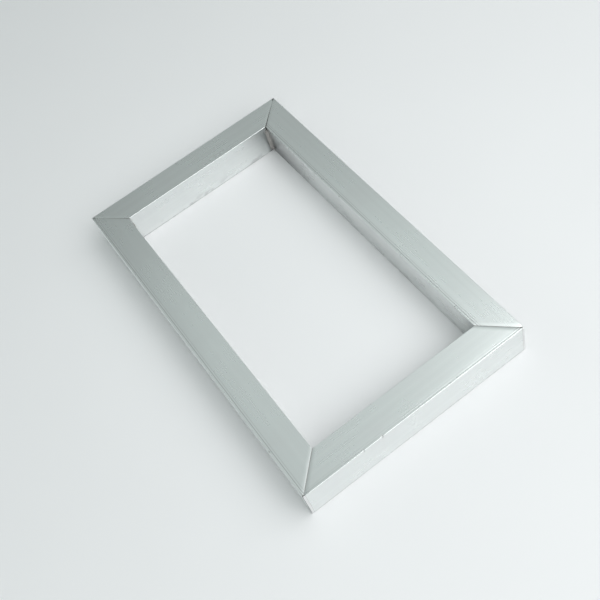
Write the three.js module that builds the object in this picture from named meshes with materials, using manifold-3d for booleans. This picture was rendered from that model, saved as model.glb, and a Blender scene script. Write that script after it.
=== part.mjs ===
// A bare screen printing frame: four hollow aluminium rails, mitred and welded at the corners.
// Millimetres, +Z up. The origin is the middle of the underside, +X points to the right rail
// and +Y to the back rail.
import * as THREE from "three";
import { mergeVertices } from "three/addons/utils/BufferGeometryUtils.js";
import Module from "manifold-3d";

const wasm = await Module();
wasm.setup();

// ---- Driving dimensions ----
const FRAME_LENGTH = 330; // outside, along Y
const FRAME_WIDTH = 195; // outside, along X
const RAIL_WIDTH = 25; // across the face that carries the mesh
const RAIL_HEIGHT = 30;
const WALL = 1.5; // the extrusion's wall
const EDGE_RADIUS = 0.8; // outside long edges
const BORE_RADIUS = 0.5; // inside long edges
const SEAM_GAP = 0.3; // between two mitred ends
const WELD_GAP = 0.3; // between a weld and the rails

const CORNER_PREP = 1.8; // leg of the bevel cut off each outside vertical edge
const GROOVE_DEPTH = 1.2; // of the vee along each mitre on the underside
const FILLET_LEG = 2.5; // of the weld up each inside corner
const FILLET_LOW_END = 1; // above the underside
const FILLET_HIGH_END = 4; // below the upper face
const FILLET_THROAT = 0.62; // how full the inside weld is, as a share of its leg

// ---- Worked out from them ----
const HALF_LENGTH = FRAME_LENGTH / 2;
const HALF_WIDTH = FRAME_WIDTH / 2;
const MITRE_DIAGONAL = RAIL_WIDTH * Math.SQRT2;
const SEAM_SHIFT = (SEAM_GAP / 2) * Math.SQRT2; // half the seam, measured along a rail
const GROOVE_HALF_WIDTH = GROOVE_DEPTH + SEAM_GAP / 2;
const BEYOND = 5; // how far a cutter runs past what it cuts
const SAME_POINT = 1e-4; // corners closer than this are one corner
const ARC_STEPS = 6;

// ---- Materials ----
const millAluminium = new THREE.MeshStandardMaterial({
  color: 0xb9c0bf,
  roughness: 0.42,
  metalness: 1,
});
const weldMetal = new THREE.MeshStandardMaterial({
  color: 0xa9a69c,
  roughness: 0.5,
  metalness: 1,
});

// ---- Helpers ----

// A closed mesh as a solid that can be cut.
function solidFrom(geometry) {
  const bare = geometry.clone().deleteAttribute("normal").deleteAttribute("uv");
  const merged = mergeVertices(bare, SAME_POINT);
  return new wasm.Manifold(
    new wasm.Mesh({
      numProp: 3,
      vertProperties: merged.attributes.position.array,
      triVerts: new Uint32Array(merged.index.array),
    }),
  );
}

// A cut solid turned back into a geometry.
function geometryFrom(solid) {
  const mesh = solid.getMesh();
  const geometry = new THREE.BufferGeometry();
  const positions = new THREE.BufferAttribute(mesh.vertProperties, 3);
  geometry.setAttribute("position", positions);
  geometry.setIndex(new THREE.BufferAttribute(mesh.triVerts, 1));
  const flat = geometry.toNonIndexed();
  flat.computeVertexNormals();
  return flat;
}

// A rectangle with round corners, as a Shape or, with a Path class, as a hole.
function roundedRectangle(Kind, left, bottom, right, top, radius) {
  const outline = new Kind();
  outline.moveTo(left + radius, bottom);
  outline.lineTo(right - radius, bottom);
  outline.absarc(right - radius, bottom + radius, radius, -Math.PI / 2, 0);
  outline.lineTo(right, top - radius);
  outline.absarc(right - radius, top - radius, radius, 0, Math.PI / 2);
  outline.lineTo(left + radius, top);
  outline.absarc(left + radius, top - radius, radius, Math.PI / 2, Math.PI);
  outline.lineTo(left, bottom + radius);
  outline.absarc(left + radius, bottom + radius, radius, Math.PI, 1.5 * Math.PI);
  return outline;
}

function polygon(...points) {
  return new THREE.Shape(points.map(([x, y]) => new THREE.Vector2(x, y)));
}

// A flat shape pushed straight up from the height bottom to the height top.
function uprightPrism(shape, bottom, top) {
  const settings = { depth: top - bottom, bevelEnabled: false, curveSegments: ARC_STEPS };
  return new THREE.ExtrudeGeometry(shape, settings).translate(0, 0, bottom);
}

// A prism laid down, so that it runs from start to end along a level heading, measured from
// +X. The shape's own x then points to the left of the heading, and its y points up.
function levelPrism(shape, start, end, heading) {
  const up = new THREE.Vector3(0, 0, 1);
  const along = new THREE.Vector3(Math.cos(heading), Math.sin(heading), 0);
  const left = new THREE.Vector3().crossVectors(up, along);
  const turn = new THREE.Matrix4().makeBasis(left, up, along);
  return uprightPrism(shape, start, end).applyMatrix4(turn);
}

// ---- Rails ----
// A rail lies along its own X axis, with its outer face on y = 0 and its inner face on
// y = RAIL_WIDTH, so turning it about Z makes any side of the frame.

function hollowBar(length) {
  const section = roundedRectangle(THREE.Shape, 0, 0, RAIL_WIDTH, RAIL_HEIGHT, EDGE_RADIUS);
  const bore = roundedRectangle(
    THREE.Path, WALL, WALL, RAIL_WIDTH - WALL, RAIL_HEIGHT - WALL, BORE_RADIUS,
  );
  section.holes.push(bore);
  return levelPrism(section, -length / 2, length / 2, 0);
}

// Everything past the mitre at the bar's +X end, half a seam short of the diagonal.
function mitreCutter(length) {
  const diagonalAt = (y) => length / 2 - SEAM_SHIFT - y;
  const far = length / 2 + BEYOND;
  const inner = RAIL_WIDTH + BEYOND;
  const waste = polygon(
    [diagonalAt(-BEYOND), -BEYOND],
    [far + BEYOND, -BEYOND],
    [far + BEYOND, inner],
    [diagonalAt(inner), inner],
  );
  return uprightPrism(waste, -BEYOND, RAIL_HEIGHT + BEYOND);
}

// The bevel that the outside weld fills: a right triangle at the outside corner.
function cornerBevelCutter(length) {
  const tip = length / 2;
  const waste = polygon(
    [tip - CORNER_PREP - BEYOND, -BEYOND],
    [tip + BEYOND, -BEYOND],
    [tip + BEYOND, CORNER_PREP + BEYOND],
  );
  return uprightPrism(waste, -BEYOND, RAIL_HEIGHT + BEYOND);
}

// The vee along the mitre on the underside, from beyond the outside corner inwards.
function undersideGrooveCutter(length) {
  const waste = polygon(
    [-GROOVE_HALF_WIDTH - BEYOND, -BEYOND],
    [GROOVE_HALF_WIDTH + BEYOND, -BEYOND],
    [0, GROOVE_HALF_WIDTH],
  );
  const inwards = 0.75 * Math.PI;
  const groove = levelPrism(waste, -BEYOND, MITRE_DIAGONAL + BEYOND, inwards);
  return groove.translate(length / 2, 0, 0);
}

function railGeometry(length) {
  let rail = solidFrom(hollowBar(length));
  for (const cutter of [mitreCutter, cornerBevelCutter, undersideGrooveCutter]) {
    const atFarEnd = solidFrom(cutter(length));
    rail = rail.subtract(atFarEnd).subtract(atFarEnd.mirror([1, 0, 0]));
  }
  return geometryFrom(rail);
}

// ---- Welds ----
// Each is made for the corner at the origin whose rails run along +X and +Y, with the
// outside corner of the frame at (0, 0).

// Dressed flush with both outer faces, and rounded over at the corner.
function outsideWeld() {
  const leg = CORNER_PREP - WELD_GAP * Math.SQRT2;
  const section = new THREE.Shape();
  section.moveTo(leg, 0);
  section.lineTo(0, leg);
  section.lineTo(0, EDGE_RADIUS);
  section.absarc(EDGE_RADIUS, EDGE_RADIUS, EDGE_RADIUS, Math.PI, 1.5 * Math.PI);
  return uprightPrism(section, 0, RAIL_HEIGHT);
}

// A rounded fillet up the inside corner, stopping short of both broad faces.
function insideWeld() {
  const section = new THREE.Shape();
  const throat = FILLET_LEG * FILLET_THROAT;
  section.moveTo(WELD_GAP, WELD_GAP);
  section.lineTo(FILLET_LEG, WELD_GAP);
  section.quadraticCurveTo(throat, throat, WELD_GAP, FILLET_LEG);
  const bead = uprightPrism(section, FILLET_LOW_END, RAIL_HEIGHT - FILLET_HIGH_END);
  return bead.translate(RAIL_WIDTH, RAIL_WIDTH, 0);
}

// The vee's filling, ground flush with the underside.
function undersideWeld() {
  const reach = GROOVE_HALF_WIDTH - WELD_GAP * Math.SQRT2;
  const section = polygon([-reach, 0], [reach, 0], [0, reach]);
  const start = CORNER_PREP * Math.SQRT1_2 + WELD_GAP;
  const end = MITRE_DIAGONAL - EDGE_RADIUS - WELD_GAP;
  const inwards = 0.25 * Math.PI;
  return levelPrism(section, start, end, inwards);
}

// ---- Assembly ----
const frame = new THREE.Group();

function addMesh(name, geometry, material, x, y, turn) {
  const mesh = new THREE.Mesh(geometry, material);
  mesh.name = name;
  mesh.position.set(x, y, 0);
  mesh.rotation.z = turn;
  frame.add(mesh);
}

const QUARTER = Math.PI / 2;
const longRail = railGeometry(FRAME_LENGTH);
const shortRail = railGeometry(FRAME_WIDTH);
addMesh("rail_front", shortRail, millAluminium, 0, -HALF_LENGTH, 0);
addMesh("rail_right", longRail, millAluminium, HALF_WIDTH, 0, QUARTER);
addMesh("rail_back", shortRail, millAluminium, 0, HALF_LENGTH, 2 * QUARTER);
addMesh("rail_left", longRail, millAluminium, -HALF_WIDTH, 0, 3 * QUARTER);

const corners = [
  ["front_left", -HALF_WIDTH, -HALF_LENGTH],
  ["front_right", HALF_WIDTH, -HALF_LENGTH],
  ["back_right", HALF_WIDTH, HALF_LENGTH],
  ["back_left", -HALF_WIDTH, HALF_LENGTH],
];
corners.forEach(([corner, x, y], index) => {
  const turn = index * QUARTER;
  addMesh(`outside_weld_${corner}`, outsideWeld(), weldMetal, x, y, turn);
  addMesh(`inside_weld_${corner}`, insideWeld(), weldMetal, x, y, turn);
  addMesh(`underside_weld_${corner}`, undersideWeld(), weldMetal, x, y, turn);
});

export default frame;
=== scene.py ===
# %% [markdown]
# # A welded aluminium screen printing frame
#
# A screen printing frame is four lengths of hollow aluminium bar, cut at 45 degrees and welded
# into a flat rectangle. Mesh is later stretched over it and glued down. There is almost nothing
# to it, so the eye goes to small things: how tightly the mitres close, how the long edges catch
# the light, and the fine lines that the extrusion die leaves along every bar.
#
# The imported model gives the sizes. Every piece below stands for one of its parts.

# %% Load the frame
import math

import bpy
import numpy as np
from mathutils import Matrix, Vector


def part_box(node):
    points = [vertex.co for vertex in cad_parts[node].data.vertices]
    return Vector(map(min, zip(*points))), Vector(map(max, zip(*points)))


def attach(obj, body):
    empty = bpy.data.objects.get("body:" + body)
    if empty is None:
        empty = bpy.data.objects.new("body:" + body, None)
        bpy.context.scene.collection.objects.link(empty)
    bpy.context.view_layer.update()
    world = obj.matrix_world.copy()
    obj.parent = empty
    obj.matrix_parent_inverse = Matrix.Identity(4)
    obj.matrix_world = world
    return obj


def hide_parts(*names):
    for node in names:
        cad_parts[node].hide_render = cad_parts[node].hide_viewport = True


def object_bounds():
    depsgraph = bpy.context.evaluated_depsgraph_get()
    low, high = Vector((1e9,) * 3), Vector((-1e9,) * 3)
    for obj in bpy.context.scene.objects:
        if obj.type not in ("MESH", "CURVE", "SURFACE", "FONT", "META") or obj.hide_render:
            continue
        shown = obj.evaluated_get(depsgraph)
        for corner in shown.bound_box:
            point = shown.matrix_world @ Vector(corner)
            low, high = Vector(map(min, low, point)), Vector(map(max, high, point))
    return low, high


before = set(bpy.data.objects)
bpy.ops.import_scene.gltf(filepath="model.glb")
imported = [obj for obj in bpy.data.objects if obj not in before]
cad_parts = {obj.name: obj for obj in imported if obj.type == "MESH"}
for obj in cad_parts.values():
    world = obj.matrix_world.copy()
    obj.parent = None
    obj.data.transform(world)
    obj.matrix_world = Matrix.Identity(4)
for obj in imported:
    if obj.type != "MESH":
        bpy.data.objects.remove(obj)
cad_low, cad_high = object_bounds()
print("parts to stand for:", len(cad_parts))

# %% [markdown]
# ## Sizes
#
# The outside size, the height and the width of a rail are read from the model, so they can't
# drift apart from it. The small sizes that only show close up are chosen here: the radius along
# the rail's long edges, the thickness of its wall, and the bevel and vee that the welds fill.

# %% Sizes
MM = 0.001
left_low, left_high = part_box("rail_left")
HALF_X = cad_high.x
HALF_Y = cad_high.y
HEIGHT = cad_high.z - cad_low.z
RAIL_WIDTH = left_high.x - left_low.x
WALL = 1.5 * MM
EDGE_RADIUS = 0.35 * MM
BORE_RADIUS = 0.5 * MM
CORNER_BEVEL = 1.8 * MM
GROOVE = 1.35 * MM
BURR_RADIUS = 0.14 * MM
WELD_SEAM = 0.02 * MM
print(f"outside {2 * HALF_X / MM:.0f} x {2 * HALF_Y / MM:.0f} x {HEIGHT / MM:.0f} mm,",
      f"rail {RAIL_WIDTH / MM:.0f} mm wide")

# %% [markdown]
# ## The camera
#
# The camera looks down at the frame from beyond its front rail, turned a little to the right and
# rolled, so that the rails run as diagonals across the picture. A longish lens keeps the far
# rail from shrinking too much. It is easiest to say as a heading and a drop, a roll about the
# line of sight, and a distance from the point that it aims at. It aims a little to the right of
# the frame, and a small lens shift brings the frame back to the middle.

# %% The camera
def look(heading, drop, roll):
    """The camera's right, up and backward directions. Its line of sight is heading from +Y
    towards +X and drop below level, and roll turns its right side upwards."""
    sight = Vector((
        math.sin(heading) * math.cos(drop),
        math.cos(heading) * math.cos(drop),
        -math.sin(drop),
    ))
    level_right = sight.cross(Vector((0, 0, 1))).normalized()
    level_up = level_right.cross(sight)
    right = level_right * math.cos(roll) + level_up * math.sin(roll)
    up = level_up * math.cos(roll) - level_right * math.sin(roll)
    return right, up, -sight


CAMERA_AIM = Vector((15.9 * MM, -16.6 * MM, HEIGHT / 2))
CAMERA_DISTANCE = 739.3 * MM
right, up, backward = look(math.radians(18.41), math.radians(53.40), math.radians(-20.68))
camera = bpy.data.objects.new("camera", bpy.data.cameras.new("camera"))
camera.data.lens = 56.0
camera.data.shift_x = -0.03
camera.data.shift_y = -0.035
camera.data.sensor_width = 36.0
camera.data.clip_start = 0.01
camera.matrix_world = Matrix((
    (right.x, up.x, backward.x, 0),
    (right.y, up.y, backward.y, 0),
    (right.z, up.z, backward.z, 0),
    (0, 0, 0, 1),
))
camera.location = CAMERA_AIM + backward * CAMERA_DISTANCE
bpy.context.scene.collection.objects.link(camera)
bpy.context.scene.camera = camera
bpy.context.scene.view_settings.view_transform = "Standard"
print("camera stands", round(camera.location.z, 3), "m above the floor")

# %% [markdown]
# ## From a grid of points to a closed mesh
#
# Every piece here is a surface that numpy works out as a grid: one direction goes round a
# section, the other goes along the piece. A bar could also be a cube with a bevel, but a grid
# says exactly where each edge, groove and gap is. One function turns any such grid into a mesh.
# A rail's grid closes both ways, out along its skin and back through its bore. A weld's grid
# closes round its section only, and each end is closed by a fan of triangles.
#
# The function also writes a UV map in metres, one direction along the piece and the other round
# it, so that a material can draw lines that follow the bar.

# %% The skin function
def outward_volume(points, faces):
    """Six times the volume inside the faces: the sum of a . (b x c) over their triangles. It is
    negative if the faces point inwards."""
    a, b, c = points[faces[:, 0]], points[faces[:, 1]], points[faces[:, 2]]
    total = np.sum(a * np.cross(b, c))
    if faces.shape[1] == 4:
        d = points[faces[:, 3]]
        total += np.sum(a * np.cross(c, d))
    return total


def skin(name, grid, uv, closed_lengthwise):
    """A mesh over grid[row, column], whose columns always wrap round. With closed_lengthwise the
    last row joins the first; otherwise a fan to each end row's middle closes it. uv has one more
    column than the grid, and one more row too where the rows wrap."""
    rows, columns = grid.shape[:2]
    number = np.arange(rows * columns).reshape(rows, columns)
    number = np.concatenate([number, number[:, :1]], axis=1)
    points = grid.reshape(-1, 3)
    if closed_lengthwise:
        number = np.concatenate([number, number[:1]], axis=0)
    corners = [(slice(0, -1), slice(0, -1)), (slice(0, -1), slice(1, None)),
               (slice(1, None), slice(1, None)), (slice(1, None), slice(0, -1))]
    quads = np.stack([number[c] for c in corners], axis=-1).reshape(-1, 4)
    quad_uv = np.stack([uv[c] for c in corners], axis=-2).reshape(-1, 4, 2)
    fans = np.zeros((0, 3), int)
    fan_uv = np.zeros((0, 3, 2))
    if not closed_lengthwise:
        poles = [grid[0].mean(axis=0), grid[-1].mean(axis=0)]
        points = np.concatenate([points, poles])
        for row, pole, turn in ((0, len(points) - 2, -1), (rows - 1, len(points) - 1, 1)):
            ends = [number[row, :-1], number[row, 1:]][::turn]
            end_uv = [uv[row, :-1], uv[row, 1:]][::turn]
            middle = np.full(columns, pole)
            fans = np.concatenate([fans, np.stack([*ends, middle], axis=-1)])
            middle_uv = np.broadcast_to(uv[row].mean(axis=0), (columns, 2))
            fan_uv = np.concatenate([fan_uv, np.stack([*end_uv, middle_uv], axis=-2)])
    volume = outward_volume(points, quads)
    if len(fans):
        volume += outward_volume(points, fans)
    if volume < 0:
        quads, fans = quads[:, ::-1], fans[:, ::-1]
        quad_uv, fan_uv = quad_uv[:, ::-1], fan_uv[:, ::-1]
    mesh = bpy.data.meshes.new(name)
    mesh.from_pydata(points.tolist(), [], quads.tolist() + fans.tolist())
    layer = mesh.uv_layers.new(name="lengthwise")
    flat_uv = np.concatenate([quad_uv.reshape(-1), fan_uv.reshape(-1)])
    layer.data.foreach_set("uv", flat_uv)
    mesh.shade_smooth()
    mesh.set_sharp_from_angle(angle=math.radians(32))
    piece = bpy.data.objects.new(name, mesh)
    bpy.context.scene.collection.objects.link(piece)
    return piece


def point_values(piece, name, values):
    """Gives each point of a piece a number that its material can read by name."""
    layer = piece.data.attributes.new(name, "FLOAT", "POINT")
    layer.data.foreach_set("value", values.reshape(-1))


def arc_length(steps):
    """The running distance along rows of points, starting at 0: the sum of the steps' lengths."""
    return np.concatenate([[0.0], np.cumsum(np.linalg.norm(steps, axis=-1))])


print("skins are ready")

# %% [markdown]
# ## The rail's section
#
# An extruded bar's section is a rectangle with small round corners, inside and out. To carry it
# along the bar and into the bore, each point of the outline is stored as two things: where it
# hangs on the rectangle that joins the corner centres, and which way it faces. Moving the outline
# inwards by any depth is then one line of arithmetic, and the same points serve the skin, the
# cut face at the mitre and the bore.
#
# Two shallow grooves run the length of the bar, beside one edge of the upper face. They are the
# marks of scratches in the extrusion die, so every rail has them, and a rail that was turned
# round before welding has them along its other edge.

# %% The section's outline
ARC_STEPS = 8
DIE_LINES = ((1.7 * MM, 0.050 * MM), (3.3 * MM, 0.025 * MM))
DIE_LINE_HALF_WIDTH = 0.28 * MM


def flat_stops(length, spacing, extra):
    """Places across a flat face, as shares of it from 0 to 1 without the ends: an even spacing,
    a stop close to each end that keeps the edge's curve from spreading, and the extra ones."""
    even = np.linspace(0, length, max(2, round(length / spacing)) + 1)[1:-1]
    near_ends = np.array([0.1 * MM, length - 0.1 * MM])
    stops = np.sort(np.concatenate([even, near_ends, np.asarray(extra, float)]))
    apart = np.concatenate([[True], np.diff(stops) > 0.02 * MM])
    return stops[apart] / length


def die_line_places(turned_round):
    """How far the die lines' middles are from the rail's outer face."""
    inset = np.array([place for place, depth in DIE_LINES])
    return RAIL_WIDTH - inset if turned_round else inset


def die_line_depth(across, turned_round):
    """How deep the upper face is at a distance across: for each line its depth times
    exp(-(d / half width)^2), where d is the distance from the line's middle."""
    total = 0.0
    for middle, (_, depth) in zip(die_line_places(turned_round), DIE_LINES):
        total = total + depth * np.exp(-(((across - middle) / DIE_LINE_HALF_WIDTH) ** 2))
    return total


def section_outline(turned_round):
    """The outline of a rail's section as (share, facing). share is the place on the rectangle of
    corner centres, from (0, 0) at the outer lower corner to (1, 1); facing is the outward unit
    direction. Both are (across, up), and the outline runs anticlockwise from the outer face."""
    width = RAIL_WIDTH - 2 * EDGE_RADIUS
    height = HEIGHT - 2 * EDGE_RADIUS
    offsets = DIE_LINE_HALF_WIDTH * np.linspace(-2, 2, 9)
    groove_stops = np.add.outer(die_line_places(turned_round) - EDGE_RADIUS, offsets).ravel()
    under = flat_stops(width, 3 * MM, [])
    side = flat_stops(height, 3 * MM, [GROOVE - EDGE_RADIUS])
    top = flat_stops(width, 3 * MM, groove_stops)
    angles = np.linspace(0, math.pi / 2, ARC_STEPS + 1)
    shares, facings = [], []
    sides = ((under, (0, 0), (1, 0)), (side, (1, 0), (0, 1)),
             (top[::-1], (0, 1), (1, 0)), (side[::-1], (0, 0), (0, 1)))
    for turn, (stops, start, direction) in enumerate(sides):
        face = -math.pi / 2 + turn * math.pi / 2
        shares.append(np.asarray(start, float) + stops[:, None] * np.asarray(direction, float))
        facings.append(np.tile([math.cos(face), math.sin(face)], (len(stops), 1)))
        corner = np.asarray(((1, 0), (1, 1), (0, 1), (0, 0))[turn], float)
        shares.append(np.tile(corner, (ARC_STEPS + 1, 1)))
        facings.append(np.stack([np.cos(face + angles), np.sin(face + angles)], axis=-1))
    return np.concatenate(shares), np.concatenate(facings)


def section_points(share, facing, depth):
    """The outline moved inwards by depth, one for each point: share of the way between the corner
    centres, plus the corner's radius the way it faces. The radius runs from the outside edge's
    to the bore's."""
    depth = np.asarray(depth)[..., None]
    radius = EDGE_RADIUS + (BORE_RADIUS - EDGE_RADIUS) * depth / WALL
    low = depth + radius
    size = np.array([RAIL_WIDTH, HEIGHT])
    return low + (size - 2 * low) * share + radius * facing


share, facing = section_outline(turned_round=False)
print("points round a rail:", len(share))

# %% [markdown]
# ## The mitres
#
# No sawn mitre closes perfectly. At one corner the gap opens towards the window, at another it
# closes up before it reaches the outside, because the weld there was dressed flush. Each corner
# gets its own opening at the tip and at the window. A rail stops half that gap short of the
# diagonal. At the tip it also stops at the bevel that the outside weld fills, and low down at
# the vee that the weld on the underside fills. A file has taken the burr off the sawn edge where
# the gap is open. Where it is closed, the edge is as good as gone.

# %% How far a rail stops short
CORNERS = ("front_left", "front_right", "back_right", "back_left")
GAP_AT_TIP = dict(zip(CORNERS, (0.09 * MM, 0.14 * MM, 0.02 * MM, 0.01 * MM)))
GAP_AT_WINDOW = dict(zip(CORNERS, (0.14 * MM, 0.13 * MM, 0.60 * MM, 0.18 * MM)))
GAP_FOR_FULL_BURR = 0.14 * MM


def mitre_gap(corner, across):
    """The width of a corner's gap at a distance across from the outer face: a straight opening
    from the tip to the window, held near zero for the first fifth where the tip is closed."""
    run = np.clip((across / RAIL_WIDTH - 0.2) / 0.8, 0, 1)
    tip, window = GAP_AT_TIP[corner], GAP_AT_WINDOW[corner]
    wander = 0.012 * MM * np.sin(across / (1.9 * MM)) * run
    return np.maximum(tip + (window - tip) * run + wander, 0.008 * MM)


def burr_share(corner, across):
    """How much of the full burr radius the sawn edge has: it grows with the gap, up to 1."""
    return np.clip(mitre_gap(corner, across) / GAP_FOR_FULL_BURR, 0.15, 1)


def stop_short(corner, across, up):
    """How far a point of a rail's end stays from the frame's outer face beyond it: the largest of
    the diagonal plus half the gap, the same plus the vee, and the bevel at the tip."""
    half_gap = mitre_gap(corner, across) / 2 * math.sqrt(2)
    vee = math.sqrt(2) * np.clip(GROOVE - up, 0, None)
    return np.maximum(across + half_gap + vee, CORNER_BEVEL - across)


print("gap at the window:", {c: round(g / MM, 2) for c, g in GAP_AT_WINDOW.items()})

# %% [markdown]
# ## A rail
#
# The rail's grid starts at the middle of one cut face, goes out over the cut edge, which a file
# has taken the burr off, along the skin to the other end, in over that edge, and back through
# the bore. Nicks are dents in the edges: a point near one moves towards the middle of the rail.
# The rows stand closer together around each nick so that it has a shape.

# %% The rail's surface
SKIN_SPACING = 5 * MM
BURR_STEPS = 4


def skin_stations(length, nicks):
    """Places along the skin as shares from 0 to 1: an even spacing, and a close one round each
    nick, given as (place along from the rail's middle, across, up, radius, depth)."""
    stations = [np.linspace(0, 1, round(length / SKIN_SPACING) + 1)]
    for along, across, up, radius, depth in nicks:
        reach = length / 2 - across
        near = along + radius * np.linspace(-2.5, 2.5, 21)
        stations.append((near + reach) / (2 * reach))
    stations = np.unique(np.concatenate(stations))
    apart = np.concatenate([[True], np.diff(stations) > 0.05 * MM / length])
    apart[-1] = True
    return stations[apart]


def rail_rows(length, nicks):
    """One entry for each row of the closed grid: (share along, depth inwards, burr radii inwards,
    burr radii back from the cut). The skin comes first, then the far edge, cut face and bore,
    then the near end."""
    stations = skin_stations(length, nicks)
    turn = np.linspace(0, math.pi / 2, BURR_STEPS + 1)
    edge_in = (1 - np.cos(turn))[1:]
    edge_back = (1 - np.sin(turn))[1:]
    cut_depth = np.array([GROOVE, WALL])
    skin, edge, cut, bore = np.ones(len(stations)), np.ones(BURR_STEPS), np.ones(2), np.ones(7)
    bore_run = np.linspace(1, 0, 9)[1:-1]
    run = np.concatenate([stations, edge, cut, bore_run, 0 * cut, 0 * edge])
    depth = np.concatenate([0 * skin, 0 * edge, cut_depth, WALL * bore, cut_depth[::-1], 0 * edge])
    burr_in = np.concatenate([0 * skin, edge_in, 0 * cut, 0 * bore, 0 * cut, edge_in[::-1]])
    burr_back = np.concatenate([skin, edge_back, 0 * cut, 0 * bore, 0 * cut, edge_back[::-1]])
    return run, depth, burr_in, burr_back


def dent(points, nick):
    """Pushes points near a nick towards the rail's middle line by depth * near, where near is
    exp(-(d / radius)^2) and d is the distance from the nick. Returns the points and near."""
    along, across, up, radius, depth = nick
    place = np.array([along, across, up])
    near = np.exp(-np.sum((points - place) ** 2, axis=-1) / radius**2)
    inwards = np.array([0, RAIL_WIDTH / 2 - across, HEIGHT / 2 - up])
    inwards = inwards / np.linalg.norm(inwards)
    return points + depth * near[..., None] * inwards, near


def rail_grid(length, start_corner, end_corner, turned_round, nicks):
    """A rail in its own frame, lengthways along x with its outer face on y = 0. Returns the grid,
    its UVs, and for each point its distance from the start and from the end, and three numbers
    from 0 to 1: how deep in a die line it is, how deep in a nick, and how far from facing the
    window."""
    share, facing = section_outline(turned_round)
    outline = section_points(share, facing, np.zeros(len(share)))
    start_burr = BURR_RADIUS * burr_share(start_corner, outline[:, 0])
    end_burr = BURR_RADIUS * burr_share(end_corner, outline[:, 0])
    run, depth, burr_in, burr_back = (row[:, None] for row in rail_rows(length, nicks))
    nearer_burr = np.where(run < 0.5, start_burr, end_burr)
    section = section_points(share, facing, depth + burr_in * nearer_burr)
    across, up = section[..., 0], section[..., 1]
    start = -length / 2 + stop_short(start_corner, across, up) + burr_back * start_burr
    end = length / 2 - stop_short(end_corner, across, up) - burr_back * end_burr
    along = start + (end - start) * run
    on_top = (depth == 0) & (facing[:, 1] > 0.999)
    line_depth = die_line_depth(across, turned_round) * on_top
    up = up - line_depth
    grid = np.stack([along, across, up], axis=-1)
    in_nick = np.zeros(along.shape)
    for nick in nicks:
        grid, near = dent(grid, nick)
        in_nick = np.maximum(in_nick, near)
    off_window = np.broadcast_to(1 - np.clip(facing[:, 0], 0, 1), along.shape)
    in_line = line_depth / max(depth for place, depth in DIE_LINES)
    closed = np.concatenate([outline, outline[:1]])
    around = arc_length(np.diff(closed, axis=0))
    lengthwise = np.concatenate([along, along[:1]])
    lengthwise = np.concatenate([lengthwise, lengthwise[:, :1]], axis=1)
    uv = np.stack([lengthwise, np.broadcast_to(around, lengthwise.shape)], axis=-1)
    return grid, uv, along - start, end - along, in_line, in_nick, off_window


print("rows for a long rail:", len(rail_rows(2 * HALF_Y, [])[0]))

# %% [markdown]
# ## Putting the four rails round the window
#
# The four sides are the same idea turned by quarter turns, so one loop places them. Each side
# starts at one corner and ends at the next, going anticlockwise seen from above. The right and
# the back rails were turned round before welding, so their die lines run along the window.
# The few nicks are where knocks have marked the edges.

# %% Place the rails
def quarter_turn(turn):
    """The directions along and inwards of side number turn, seen from above."""
    angle = turn * math.pi / 2
    along = np.array([math.cos(angle), math.sin(angle), 0.0])
    inwards = np.array([-math.sin(angle), math.cos(angle), 0.0])
    return np.round(along), np.round(inwards)


def placed(points, origin, along, inwards):
    """Points of a piece's own frame (along, inwards, up) moved to their place in the frame."""
    upwards = np.array([0.0, 0.0, 1.0])
    axes = np.stack([along, inwards, upwards])
    return points @ axes + origin


SIDES = ("rail_front", "rail_right", "rail_back", "rail_left")
TOP = HEIGHT - 0.2 * MM
NICKS = {
    "rail_front": [(-30 * MM, 0.3 * MM, TOP, 0.8 * MM, 0.30 * MM),
                   (-46 * MM, 0.2 * MM, TOP, 0.6 * MM, 0.25 * MM)],
    "rail_right": [(28 * MM, RAIL_WIDTH - 0.1 * MM, TOP, 0.6 * MM, 0.25 * MM),
                   (-118 * MM, RAIL_WIDTH - 0.1 * MM, TOP, 0.5 * MM, 0.18 * MM)],
    "rail_back": [(10 * MM, 0.1 * MM, TOP, 0.5 * MM, 0.18 * MM)],
    "rail_left": [(122 * MM, 0.1 * MM, TOP, 0.6 * MM, 0.22 * MM),
                  (-20 * MM, RAIL_WIDTH - 0.1 * MM, TOP, 0.4 * MM, 0.12 * MM)],
}
TURNED_ROUND = ("rail_right", "rail_back")
# Soot round the inside beads and painted shade: how far they reach along each rail from its start
# and its end corner. The right rail's window face keeps some painted shade all along.
SOOT_AND_SHADE_AT_START = dict(zip(SIDES, (8 * MM, 16 * MM, 6 * MM, 2 * MM)))
SOOT_AND_SHADE_AT_END = dict(zip(SIDES, (10 * MM, 95 * MM, 2 * MM, 8 * MM)))
CLEAR_AT_MOST = dict(zip(SIDES, (2.0, 0.72, 2.0, 2.0)))
DIE_LINES_LEFT = dict(zip(SIDES, (0.35, 1.0, 0.5, 1.0)))


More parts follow.
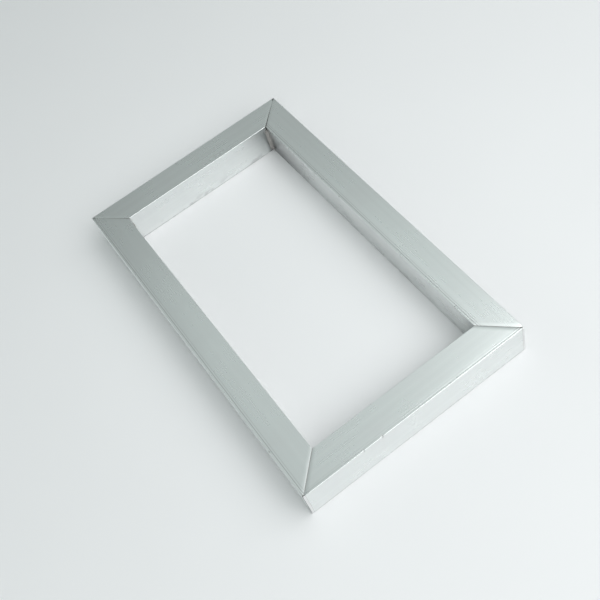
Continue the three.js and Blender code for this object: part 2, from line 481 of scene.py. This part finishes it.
def make_rail(side):
    """One rail in its place, with numbers at each point that its material reads: from_mitre, the
    distance to the nearer sawn end; in_line, how much darker the die lines are painted; in_nick;
    off_window; and the same distance as a share of how far the soot and painted shade reach from
    the inside bead. The right rail's window face is never quite clear of the painted shade."""
    name = SIDES[side]
    along, inwards = quarter_turn(side)
    half_length, half_depth = (HALF_X, HALF_Y) if side % 2 == 0 else (HALF_Y, HALF_X)
    start_corner, end_corner = CORNERS[side], CORNERS[(side + 1) % 4]
    grid, uv, from_start, from_end, in_line, in_nick, off_window = rail_grid(
        2 * half_length, start_corner, end_corner, name in TURNED_ROUND, NICKS[name]
    )
    uv = uv + np.array([side * 1.0, side * 0.37])
    piece = skin(f"{name}_skin", placed(grid, -inwards * half_depth, along, inwards), uv, True)
    clear_of_soot_and_shade = np.minimum(from_start / SOOT_AND_SHADE_AT_START[name], from_end / SOOT_AND_SHADE_AT_END[name])
    clear_of_soot_and_shade = np.minimum(clear_of_soot_and_shade, CLEAR_AT_MOST[name])
    point_values(piece, "from_mitre", np.minimum(from_start, from_end))
    point_values(piece, "clear_of_soot_and_shade", clear_of_soot_and_shade)
    point_values(piece, "in_line", in_line * DIE_LINES_LEFT[name])
    point_values(piece, "in_nick", in_nick)
    point_values(piece, "off_window", off_window)
    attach(piece, "root")
    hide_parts(name)
    return piece


rails = [make_rail(side) for side in range(4)]
for rail in rails:
    print(rail.name, len(rail.data.polygons), "faces")

# %% [markdown]
# ## The outside welds
#
# Each outside corner is welded from the foot to the upper face and then ground flush with both
# outer faces, so all that is left of it is a crisp edge with a small radius. Its top and foot
# follow the same radius as the rails' edges, which makes each end an eighth of a ball.

# %% Outside welds
WELD_ARC_STEPS = 8
WELD_LEVELS = 16
LEAST_RADIUS = 0.05 * MM
# At which corners the outside weld gets a dark line of painted shade down one side, for the rail's
# outer face beside it, seen edge-on and in shade.
PAINTED_SHADE_LINE_AT = dict(zip(CORNERS, (1.0, 0.0, 0.0, 0.0)))


def outside_weld_grid():
    """The filled corner, with the frame's outside corner at (0, 0). At height z the level section
    is cut from the corner by the bevel. Near the top and foot both faces move in by
    r - sqrt(r^2 - h^2), where h is the height into the rounded edge, and the corner's own radius
    shrinks by as much, though never to nothing, so that no two points meet."""
    turn = np.linspace(0, math.pi / 2, WELD_ARC_STEPS + 1)
    foot = EDGE_RADIUS * (1 - np.cos(turn))
    middle = np.linspace(EDGE_RADIUS, HEIGHT - EDGE_RADIUS, WELD_LEVELS)[1:-1]
    height = np.concatenate([foot, middle, HEIGHT - foot[::-1]])
    into_edge = np.clip(np.abs(height - HEIGHT / 2) - (HEIGHT / 2 - EDGE_RADIUS), 0, None)
    radius = np.sqrt(np.clip(EDGE_RADIUS**2 - into_edge**2, LEAST_RADIUS**2, None))[:, None]
    face = EDGE_RADIUS - radius
    leg = CORNER_BEVEL - WELD_SEAM * math.sqrt(2)
    angle = math.pi + turn
    x = np.concatenate([face, EDGE_RADIUS + radius * np.cos(angle), leg - face], axis=1)
    y = np.concatenate([leg - face, EDGE_RADIUS + radius * np.sin(angle), face], axis=1)
    z = np.broadcast_to(height[:, None], x.shape)
    return np.stack([x, y, z], axis=-1)


def outside_weld_painted_shade(grid, corner):
    """How much painted shade each point has, from 0 to 1: a dark line along the half of the radius
    that is beside the rail that ends there, at the corners that the table above lists."""
    soot_and_shade = np.zeros(grid.shape[:2])
    soot_and_shade[:, :WELD_ARC_STEPS // 2 + 1] = PAINTED_SHADE_LINE_AT[corner]
    return np.concatenate([soot_and_shade.ravel(), np.zeros(2)])


def upright_uv(grid):
    """UVs for an upright piece: height, and the distance round its middle section."""
    middle = grid[len(grid) // 2]
    around = arc_length(np.diff(np.concatenate([middle, middle[:1]]), axis=0))
    height = np.concatenate([grid[..., 2], grid[:, :1, 2]], axis=1)
    return np.stack([height, np.broadcast_to(around, height.shape)], axis=-1)


def corner_place(number):
    """The outside corner number, and the directions of the two rails that leave it."""
    along, inwards = quarter_turn(number)
    signs = ((-1, -1), (1, -1), (1, 1), (-1, 1))[number]
    return np.array([signs[0] * HALF_X, signs[1] * HALF_Y, 0.0]), along, inwards


def make_weld(kind, number, grid, uv):
    node = f"{kind}_weld_{CORNERS[number]}"
    piece = skin(f"{node}_bead", placed(grid, *corner_place(number)), uv + number * 0.5, False)
    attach(piece, "root")
    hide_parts(node)
    return piece


outside_grid = outside_weld_grid()
outside_welds = [
    make_weld("outside", n, outside_grid, upright_uv(outside_grid))
    for n in range(4)
]
# A dark line of painted shade down one side of the weld, at the corners listed above.
for weld, corner in zip(outside_welds, CORNERS):
    point_values(weld, "soot_and_shade", outside_weld_painted_shade(outside_grid, corner))
print("outside welds:", len(outside_welds))

# %% [markdown]
# ## The inside welds
#
# The bead up each inside corner can't be reached by a grinder, so it stays as it was laid: a
# narrow fillet with a ripple for every dip of the rod, tapering off at both ends. It starts
# just above the foot and stops short of the upper face, where the open mitre shows again. No two
# beads come out the same size, and the one at the back left corner is the smallest.

# %% Inside welds
FILLET_LEG = dict(zip(CORNERS, (2.3 * MM, 2.2 * MM, 2.5 * MM, 1.5 * MM)))
FILLET_BELOW_TOP = dict(zip(CORNERS, (4.5 * MM, 4.5 * MM, 4 * MM, 7 * MM)))
FILLET_FOOT = 1 * MM
FILLET_END_RUN = 1.6 * MM
FILLET_OFF_WALL = 0.03 * MM
RIPPLE_PITCH = 0.95 * MM


def inside_weld_grid(corner, phase):
    """A fillet in the corner at (w, w), where w is the rail's width. Its face is a circle's arc
    from wall to wall that bulges a little, and its leg grows and shrinks along the bead:
    leg * (1 + ripple) * taper, with the ripple trailing at the sides as a chevron does."""
    top = HEIGHT - FILLET_BELOW_TOP[corner]
    height = np.linspace(FILLET_FOOT, top, 180)[:, None]
    across = np.linspace(0, 1, 15)[None, :]
    from_end = np.minimum(height - FILLET_FOOT, top - height)
    taper = np.sqrt(np.clip(1 - (1 - np.clip(from_end / FILLET_END_RUN, 0, 1)) ** 2, 0.02, 1))
    trail = 1.4 * (across - 0.5) ** 2
    wander = 0.5 * np.sin(height / (3.1 * MM) + phase * 1.7)
    dips = 2 * math.pi * (height / RIPPLE_PITCH + trail) + wander
    ripple = 0.055 * np.abs(np.sin(dips / 2)) + 0.04 * np.sin(height / (4.3 * MM) + phase)
    leg = FILLET_LEG[corner] * 0.93 * taper * (1 + ripple)
    angle = across * math.pi / 2
    bulge = 0.56 + 0.44 * (np.abs(across - 0.5) * 2) ** 1.6
    x = leg * np.cos(angle) * bulge
    y = leg * np.sin(angle) * bulge
    x, y = np.maximum(x, FILLET_OFF_WALL), np.maximum(y, FILLET_OFF_WALL)
    back = np.full_like(height, FILLET_OFF_WALL)
    x = np.concatenate([x, back], axis=1) + RAIL_WIDTH
    y = np.concatenate([y, back], axis=1) + RAIL_WIDTH
    z = np.broadcast_to(height, x.shape)
    return np.stack([x, y, z], axis=-1)


inside_welds = []
for n in range(4):
    bead = inside_weld_grid(CORNERS[n], phase=n)
    inside_welds.append(make_weld("inside", n, bead, upright_uv(bead)))
print("inside welds:", len(inside_welds))

# %% [markdown]
# ## The underside welds
#
# On the underside each mitre has a vee filled with weld and ground flat, so that the frame lies
# flat. The bead is a three-sided bar along the diagonal, whose wide side is the ground face.

# %% Underside welds
def underside_weld_grid():
    """A three-sided bar along the corner's diagonal. Its ground face is two reaches wide, and its
    other two sides meet in the vee's root. It narrows towards the tip, where the rails' lower
    edges are round."""
    reach = GROOVE - WELD_SEAM * math.sqrt(2)
    start = CORNER_BEVEL / math.sqrt(2) + WELD_SEAM
    end = RAIL_WIDTH * math.sqrt(2) - 0.3 * MM
    along = np.linspace(start, end, 60)[:, None]
    half = math.sqrt(0.5)
    edge = np.minimum(reach, along - 0.85 * EDGE_RADIUS)
    side = np.linspace(-1, 1, 9)[None, :]
    across = np.concatenate([side * edge, 0 * along], axis=1)
    up = np.concatenate([0 * side * along, edge], axis=1)
    x = (along - across) * half
    y = (along + across) * half
    return np.stack([x, y, up + 0 * x], axis=-1)


def diagonal_uv(grid):
    """UVs for a bar along the diagonal: distance from the corner, and distance across."""
    closed = np.concatenate([grid, grid[:, :1]], axis=1)
    half = math.sqrt(0.5)
    along = (closed[..., 0] + closed[..., 1]) * half
    across = (closed[..., 1] - closed[..., 0]) * half + closed[..., 2]
    return np.stack([along, across], axis=-1)


underside_grid = underside_weld_grid()
underside_welds = [
    make_weld("underside", n, underside_grid, diagonal_uv(underside_grid))
    for n in range(4)
]
print("underside welds:", len(underside_welds))

# %% [markdown]
# ## Writing materials as arithmetic
#
# A material in Blender is a web of nodes. For a pattern that is really a formula, it reads better
# as one. The Wire class holds a node's output, and adding or multiplying two wires adds the Math
# node that does it. Every other node comes from one method, which sets the node up first and
# then joins its inputs.

# %% Wires and finishes
class Wire:
    """One value in a material. Arithmetic on it adds Math nodes."""

    def __init__(self, finish, socket):
        self.finish = finish
        self.socket = socket

    def maths(self, operation, first, second=0.0):
        sockets = {0: first, 1: second}
        return self.finish.node("ShaderNodeMath", {"operation": operation}, sockets)

    def __add__(self, other):
        return self.maths("ADD", self, other)

    def __mul__(self, other):
        return self.maths("MULTIPLY", self, other)

    def __sub__(self, other):
        return self.maths("SUBTRACT", self, other)

    def __rsub__(self, other):
        return self.maths("SUBTRACT", other, self)

    __radd__ = __add__
    __rmul__ = __mul__

    def between(self, low, high):
        """0 up to low, 1 from high, and a smooth rise between. low may be the larger one."""
        settings = {"interpolation_type": "SMOOTHSTEP"}
        sockets = {"Value": self, "From Min": low, "From Max": high}
        return self.finish.node("ShaderNodeMapRange", settings, sockets, "Result")


class Finish:
    """A material and the nodes in it."""

    def __init__(self, name):
        self.material = bpy.data.materials.new(name)
        self.material.use_nodes = True
        self.tree = self.material.node_tree
        self.tree.nodes.clear()
        self.output = self.tree.nodes.new("ShaderNodeOutputMaterial")

    def node(self, kind, settings, sockets, result=0):
        """Adds a node of that kind, sets it up, then joins or fills its sockets. Returns the
        output named result as a Wire."""
        made = self.tree.nodes.new(kind)
        for name, value in settings.items():
            setattr(made, name, value)
        for name, value in sockets.items():
            if isinstance(value, Wire):
                self.tree.links.new(value.socket, made.inputs[name])
            else:
                made.inputs[name].default_value = value
        return Wire(self, made.outputs[result])

    def mix(self, amount, low, high):
        """A colour between low and high."""
        settings = {"data_type": "RGBA"}
        return self.node("ShaderNodeMix", settings, {0: amount, 6: low, 7: high}, 2)

    def stretched(self, vector, scale):
        """A vector with each part multiplied by its own number."""
        sockets = {0: vector, 1: scale}
        return self.node("ShaderNodeVectorMath", {"operation": "MULTIPLY"}, sockets)

    def noise(self, vector, scale, detail, roughness=0.5):
        sockets = {"Vector": vector, "Scale": scale, "Detail": detail, "Roughness": roughness}
        return self.node("ShaderNodeTexNoise", {}, sockets)

    def lengthwise(self):
        """The UV map, in metres: x along the piece and y round it."""
        return self.node("ShaderNodeUVMap", {"uv_map": "lengthwise"}, {})

    def place(self):
        """Where a point of the frame is, in metres."""
        return self.node("ShaderNodeTexCoord", {}, {}, "Object")

    def attribute(self, name):
        """A number that point_values gave to each point."""
        return self.node("ShaderNodeAttribute", {"attribute_name": name}, {}, "Fac")

    def part(self, vector, axis):
        return self.node("ShaderNodeSeparateXYZ", {}, {"Vector": vector}, axis)

    def metal(self, colour, roughness, height, relief):
        """Ends the material as bare metal. height is the surface's small relief from 0 to 1, and
        relief is how deep that is, in metres."""
        sockets = {"Height": height, "Distance": relief, "Strength": 1.0}
        normal = self.node("ShaderNodeBump", {}, sockets)
        sockets = {"Base Color": colour, "Roughness": roughness, "Metallic": 1.0, "Normal": normal}
        surface = self.node("ShaderNodeBsdfPrincipled", {}, sockets)
        self.tree.links.new(surface.socket, self.output.inputs["Surface"])
        return self.material


def grey(level, warmth=0.0):
    """A colour as (red, green, blue, 1): level, moved towards red or blue by warmth."""
    return (level * (1 + warmth), level, level * (1 - warmth), 1.0)


print("finishes can be written")

# %% [markdown]
# ## Mill finish aluminium
#
# The rails are as the extrusion press left them. The die drags very fine lines along the bar, and
# they are what makes this metal look brushed: along a line the surface is the same, across the
# lines it changes every fraction of a millimetre. The lines change the colour, the roughness and
# the relief together. Over them lie soft cloudy patches from handling and a thin brown line right
# at each sawn edge, where the weld's heat reached. The die lines and the nicks are painted darker,
# and painted shade darkens the foot of every face.
# The window's faces have soot round the inside beads, together with painted shade that darkens
# them towards the inside corners and the foot, and smudges low down.

# %% Mill finish aluminium
FOOT_REACH = 8 * MM


def mill_aluminium():
    f = Finish("mill_aluminium")
    lengthwise = f.lengthwise()
    place = f.place()
    coarse = f.noise(f.stretched(lengthwise, (0.9, 250.0, 0.0)), 1.0, 1.0)
    fine = f.noise(f.stretched(lengthwise, (2.0, 800.0, 0.0)), 1.0, 1.0)
    lines = coarse * 0.65 + fine * 0.35
    clouds = f.noise(place, 26.0, 4.0, 0.6)
    from_mitre = f.attribute("from_mitre")
    off_window = f.attribute("off_window")
    heat = from_mitre.between(0.22 * MM, 0.0)
    up = f.part(place, 2)
    # Soot and painted shade: darker on the window faces towards the inside corners and the foot,
    # over the right rail's inner edge near the back corner, where it dims the highlight, and a
    # little over all of the right rail's window face.
    soot_and_shade = (f.attribute("clear_of_soot_and_shade") + off_window + clouds * 0.6).between(1.3, 0.3)
    soot_and_shade = soot_and_shade * up.between(1.9 * HEIGHT, 0)
    # Painted shade along the foot of every face, in the last millimetre above the table.
    painted_foot_shade = up.between(1.0 * MM, 0.3 * MM)
    blots = f.noise(f.stretched(place, (1.0, 1.0, 2.0)), 75.0, 2.0).between(0.50, 0.62)
    smudges = (up + off_window * FOOT_REACH).between(FOOT_REACH, 0) * blots
    bright = lines.between(0.2, 0.8)
    colour = f.mix(bright, (0.825, 0.848, 0.840, 1), (0.865, 0.889, 0.880, 1))
    colour = f.mix(clouds.between(0.45, 0.75) * 0.35, colour, grey(0.80))
    # The die lines and the nicks are painted darker.
    colour = f.mix(f.attribute("in_line") * 0.8, colour, grey(0.5))
    colour = f.mix(f.attribute("in_nick") * 0.7, colour, grey(0.35))
    # Painted shade and soot near the inside corners.
    colour = f.mix(soot_and_shade * 0.9, colour, grey(0.22, -0.02))
    colour = f.mix(smudges * 0.4, colour, grey(0.40))
    # The painted shade at the foot.
    colour = f.mix(painted_foot_shade * 0.5, colour, grey(0.35))
    colour = f.mix(heat * 0.5, colour, (0.42, 0.38, 0.35, 1))
    roughness = 0.22 + 0.04 * lines + 0.08 * clouds
    return f.metal(colour, roughness, coarse, 0.0015 * MM)


rail_finish = mill_aluminium()
for rail in rails:
    rail.data.materials.append(rail_finish)
print("rails:", rail_finish.name)

# %% [markdown]
# ## Weld metal
#
# Dressed weld has been ground with a fine belt: short scratches across the corner, a little
# duller than the rail. At one corner a dark line of painted shade runs down one side of it. The
# inside beads were never touched. They are slightly straw coloured and dull.

# %% Weld metal
def dressed_weld():
    f = Finish("dressed_weld")
    lengthwise = f.lengthwise()
    scratches = f.noise(f.stretched(lengthwise, (2400.0, 300.0, 0.0)), 1.0, 3.0, 0.6)
    clouds = f.noise(f.place(), 90.0, 3.0)
    colour = f.mix(scratches.between(0.3, 0.7), grey(0.83), grey(0.91))
    # A dark line of painted shade down one side of the front left weld.
    colour = f.mix(f.attribute("soot_and_shade") * 0.9, colour, grey(0.12, 0.08))
    roughness = 0.34 + 0.10 * scratches + 0.08 * clouds
    return f.metal(colour, roughness, scratches, 0.004 * MM)


def weld_bead():
    f = Finish("weld_bead")
    place = f.place()
    grain = f.noise(place, 1400.0, 3.0, 0.6)
    clouds = f.noise(place, 160.0, 3.0)
    colour = f.mix(clouds.between(0.3, 0.7), grey(0.34, 0.04), grey(0.48, 0.04))
    roughness = 0.38 + 0.18 * grain
    return f.metal(colour, roughness, grain, 0.03 * MM)


dressed_finish = dressed_weld()
bead_finish = weld_bead()
for weld in outside_welds + underside_welds:
    weld.data.materials.append(dressed_finish)
for weld in inside_welds:
    weld.data.materials.append(bead_finish)
print("welds:", dressed_finish.name, bead_finish.name)

# %% [markdown]
# ## The table
#
# A pale, matt table top is most of what the metal reflects, so it does half the lighting. A very
# faint tooth keeps it from looking like a flat colour.

# %% The table
def table_grid(half_size):
    """A flat square at the frame's foot, with its points closer together near the middle:
    half_size * t^3 for t from -1 to 1."""
    run = half_size * np.linspace(-1, 1, 41) ** 3
    x, y = np.meshgrid(run, run, indexing="ij")
    return np.stack([x, y, np.full_like(x, cad_low.z)], axis=-1)


def table_paint():
    f = Finish("table_paint")
    place = f.place()
    tooth = f.noise(place, 900.0, 2.0)
    clouds = f.noise(place, 7.0, 3.0)
    colour = f.mix(clouds, (0.848, 0.848, 0.853, 1), (0.873, 0.873, 0.878, 1))
    normal = f.node("ShaderNodeBump", {}, {"Height": tooth, "Distance": 0.02 * MM})
    sockets = {"Base Color": colour, "Roughness": 0.75, "Normal": normal}
    surface = f.node("ShaderNodeBsdfPrincipled", {}, sockets)
    f.tree.links.new(surface.socket, f.output.inputs["Surface"])
    return f.material


TABLE_HALF_SIZE = 20.0
table_points = table_grid(TABLE_HALF_SIZE)
side_points = table_points.shape[0]
corner_number = np.arange(side_points**2).reshape(side_points, side_points)
table_faces = np.stack([
    corner_number[:-1, :-1], corner_number[1:, :-1], corner_number[1:, 1:], corner_number[:-1, 1:],
], axis=-1).reshape(-1, 4)
table_mesh = bpy.data.meshes.new("table_top")
table_mesh.from_pydata(table_points.reshape(-1, 3).tolist(), [], table_faces.tolist())
table_mesh.materials.append(table_paint())
table = bpy.data.objects.new("table_top", table_mesh)
bpy.context.scene.collection.objects.link(table)
print("table:", len(table_faces), "faces")

# %% [markdown]
# ## Light
#
# Bare metal is only as good as what it reflects, so every light is a large soft panel. Together
# they make a bright bank round the right and the front, with dimmer panels behind and on the
# left. The wide bank leaves each long rail a soft shadow on its left side. The panels behind
# are what the upper faces mirror, so they decide how those brighten towards the near right. The
# bank has the colour of daylight. The other panels and the room are a little greener.
#
# A panel is easiest to say as a compass bearing from the back of the frame, a height angle and a
# distance.

# %% Light
DAYLIGHT = (0.98, 0.99, 1.0)
ROOM_LIGHT = (0.91, 1.0, 0.985)


def panel(name, bearing, climb, distance, width, height, power, colour):
    """A rectangular soft light that faces the frame's middle. bearing is in degrees clockwise
    from the back, seen from above, and climb in degrees above level. Lengths are in metres, power
    is in watts and colour is (red, green, blue)."""
    turn, rise = math.radians(bearing), math.radians(climb)
    direction = Vector((
        math.sin(turn) * math.cos(rise), math.cos(turn) * math.cos(rise), math.sin(rise),
    ))
    light = bpy.data.lights.new(name, "AREA")
    light.shape = "RECTANGLE"
    light.size = width
    light.size_y = height
    light.energy = power
    light.color = colour
    lamp = bpy.data.objects.new(name, light)
    lamp.location = direction * distance
    lamp.rotation_mode = "QUATERNION"
    lamp.rotation_quaternion = direction.to_track_quat("Z", "Y")
    lamp.visible_camera = False
    bpy.context.scene.collection.objects.link(lamp)


panel("front_right", 132, 56, 1.25, 1.55, 1.35, 10.2, DAYLIGHT)
panel("front", 178, 46, 1.6, 1.5, 1.2, 6.8, DAYLIGHT)
panel("front_left", 228, 34, 1.8, 1.5, 1.3, 1.9, ROOM_LIGHT)
panel("back_left", 307, 30, 1.9, 2.2, 1.8, 4.7, ROOM_LIGHT)
panel("behind", 31, 42, 1.7, 1.3, 1.0, 0.50, ROOM_LIGHT)
panel("overhead", 26, 66, 1.5, 1.0, 0.85, 0.91, ROOM_LIGHT)
room = bpy.data.worlds.new("room")
room.use_nodes = True
room.node_tree.nodes["Background"].inputs["Color"].default_value = (*ROOM_LIGHT, 1)
room.node_tree.nodes["Background"].inputs["Strength"].default_value = 0.29
bpy.context.scene.world = room
